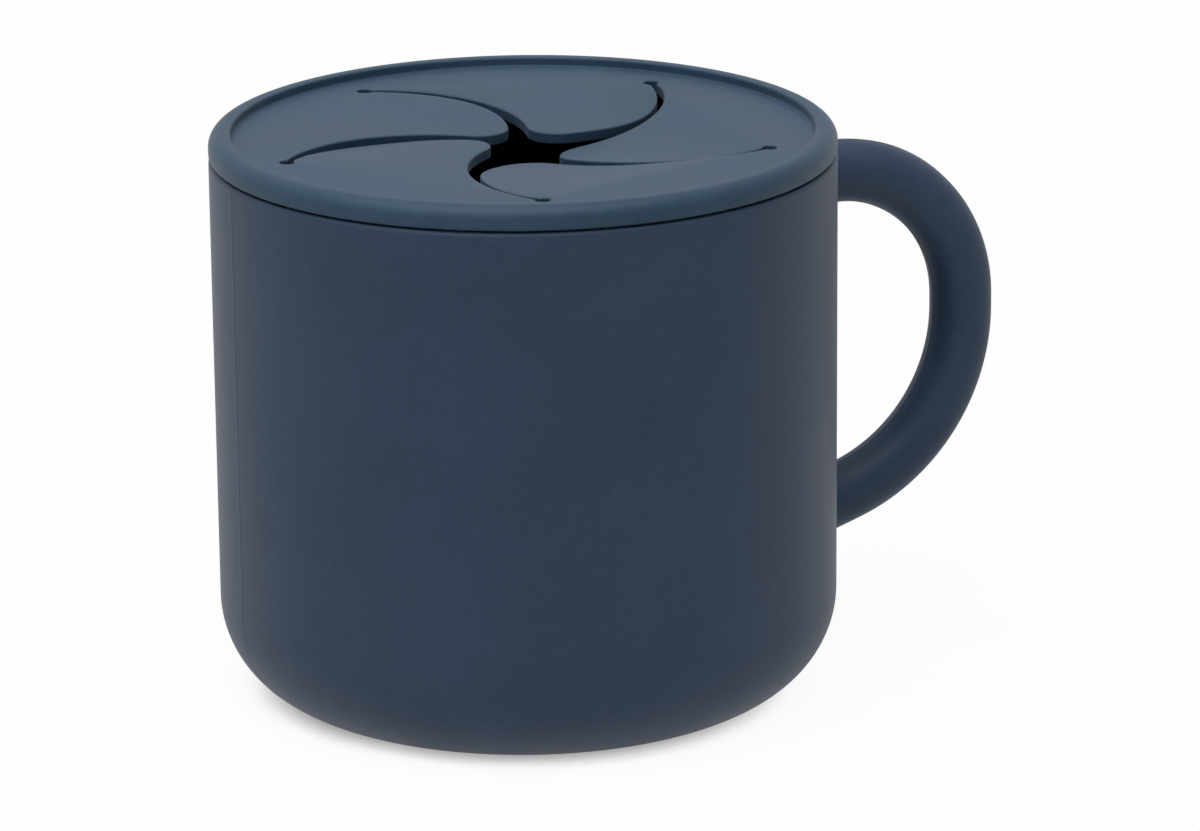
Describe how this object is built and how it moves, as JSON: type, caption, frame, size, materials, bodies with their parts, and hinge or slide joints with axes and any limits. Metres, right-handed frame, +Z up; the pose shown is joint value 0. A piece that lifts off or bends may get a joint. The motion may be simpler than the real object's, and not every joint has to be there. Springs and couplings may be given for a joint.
{
  "type": "toddler snack container",
  "caption": "Round soft cup with a loop handle and a press-on lid whose swirled flaps let a small hand reach the snacks inside.",
  "frame": {"origin": "middle of the underside of the cup, on the cup's axis", "axes": "+Z up along the cup's axis, +X towards the middle of the handle"},
  "size_m": [0.1203, 0.09, 0.0837],
  "materials": {
    "cup": "matte moulded silicone, slate blue",
    "lid": "matte moulded silicone, slate blue"
  },
  "bodies": {
    "cup": {"cup_shell": "cup", "handle": "cup"},
    "lid": {"lid_frame": "lid"},
    "flap_1": {"flap_1": "lid"},
    "flap_2": {"flap_2": "lid"},
    "flap_3": {"flap_3": "lid"},
    "flap_4": {"flap_4": "lid"},
    "flap_5": {"flap_5": "lid"}
  },
  "joints": [
    {"name": "lid_lift", "type": "slide", "parent": "cup", "child": "lid", "axis": [0, 0, 1], "range_m": [0, 0.09]},
    {"name": "flap_1_bend", "type": "hinge", "parent": "lid", "child": "flap_1", "pos_m": [-0.02095, 0.0162, 0.08155], "axis": [0.6115, 0.7912, 0], "range_deg": [-50, 55], "stiffness_Nm_per_rad": 0.006},
    {"name": "flap_2_bend", "type": "hinge", "parent": "lid", "child": "flap_2", "pos_m": [0.00893, 0.02493, 0.08155], "axis": [0.9415, -0.3371, 0], "range_deg": [-50, 55], "stiffness_Nm_per_rad": 0.006},
    {"name": "flap_3_bend", "type": "hinge", "parent": "lid", "child": "flap_3", "pos_m": [0.02647, -0.00079, 0.08155], "axis": [-0.0297, -0.9996, 0], "range_deg": [-50, 55], "stiffness_Nm_per_rad": 0.006},
    {"name": "flap_4_bend", "type": "hinge", "parent": "lid", "child": "flap_4", "pos_m": [0.00743, -0.02542, 0.08155], "axis": [-0.9598, -0.2807, 0], "range_deg": [-50, 55], "stiffness_Nm_per_rad": 0.006},
    {"name": "flap_5_bend", "type": "hinge", "parent": "lid", "child": "flap_5", "pos_m": [-0.02188, -0.01492, 0.08155], "axis": [-0.5635, 0.8261, 0], "range_deg": [-50, 55], "stiffness_Nm_per_rad": 0.006}
  ]
}
